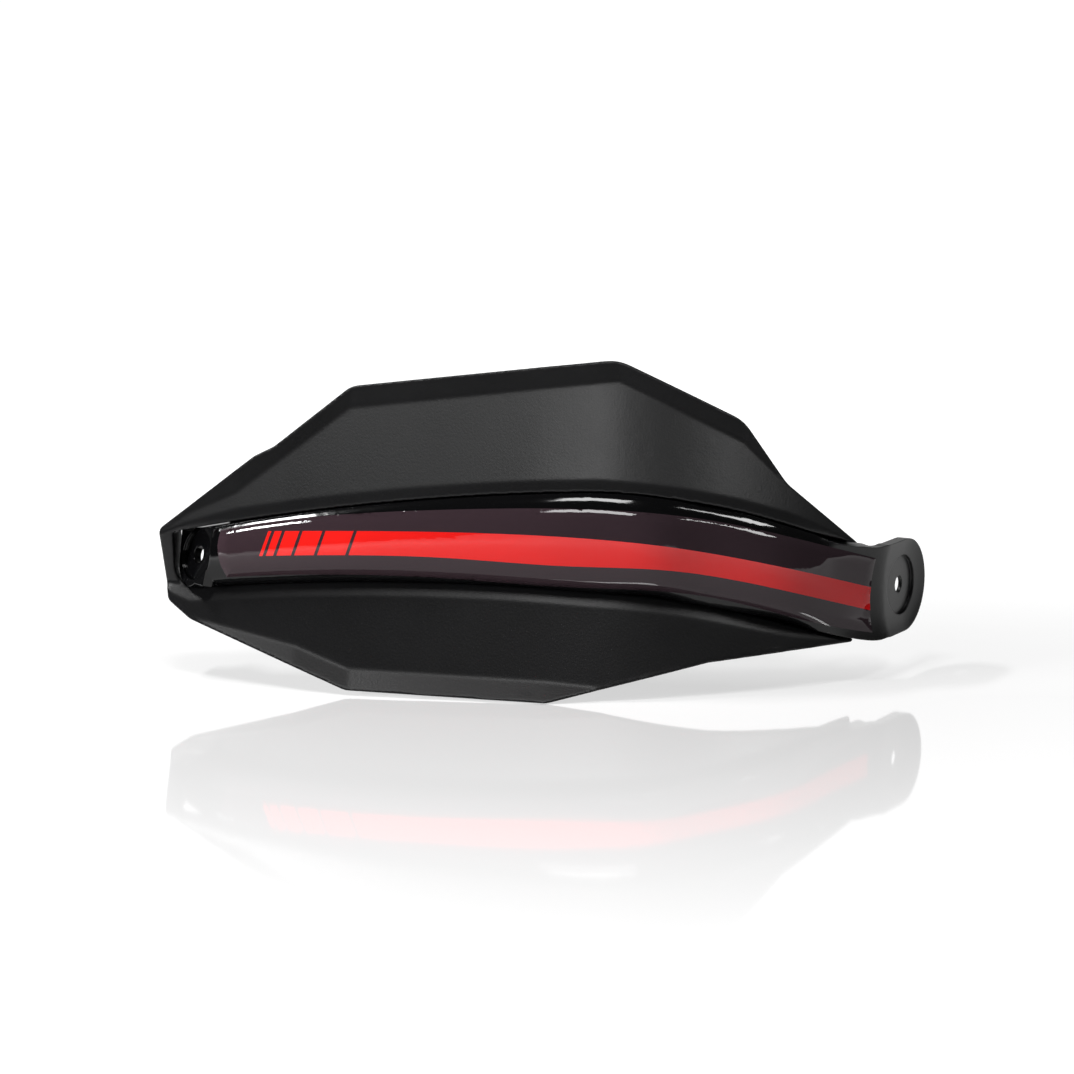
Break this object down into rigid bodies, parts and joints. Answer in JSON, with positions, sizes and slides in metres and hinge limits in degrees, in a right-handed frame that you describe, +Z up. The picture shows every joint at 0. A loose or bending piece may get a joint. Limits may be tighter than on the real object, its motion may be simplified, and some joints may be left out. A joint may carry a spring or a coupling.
{
  "type": "motorcycle hand guard",
  "caption": "Wrap-round motorcycle hand guard: a matte moulded shield with turned rims on a gloss black spine with a striped label, a bar-end lug and an inner bolt tab.",
  "frame": {"origin": "axis of the bar-end bolt hole, where it opens on the back face of the lug", "axes": "+X outboard along the guard, +Y back to the rider, +Z up"},
  "size_m": [0.3006, 0.0743, 0.1239],
  "materials": {
    "matte_black": "fine grain",
    "gloss_black": "gloss",
    "label_charcoal": "domed gloss",
    "stripe_red": "domed gloss",
    "screw_steel": "zinc plated"
  },
  "bodies": {
    "root": {"shield": "matte_black", "spine": "gloss_black", "label": "label_charcoal", "stripe": "stripe_red", "fixing_screws": "screw_steel"}
  },
  "joints": []
}
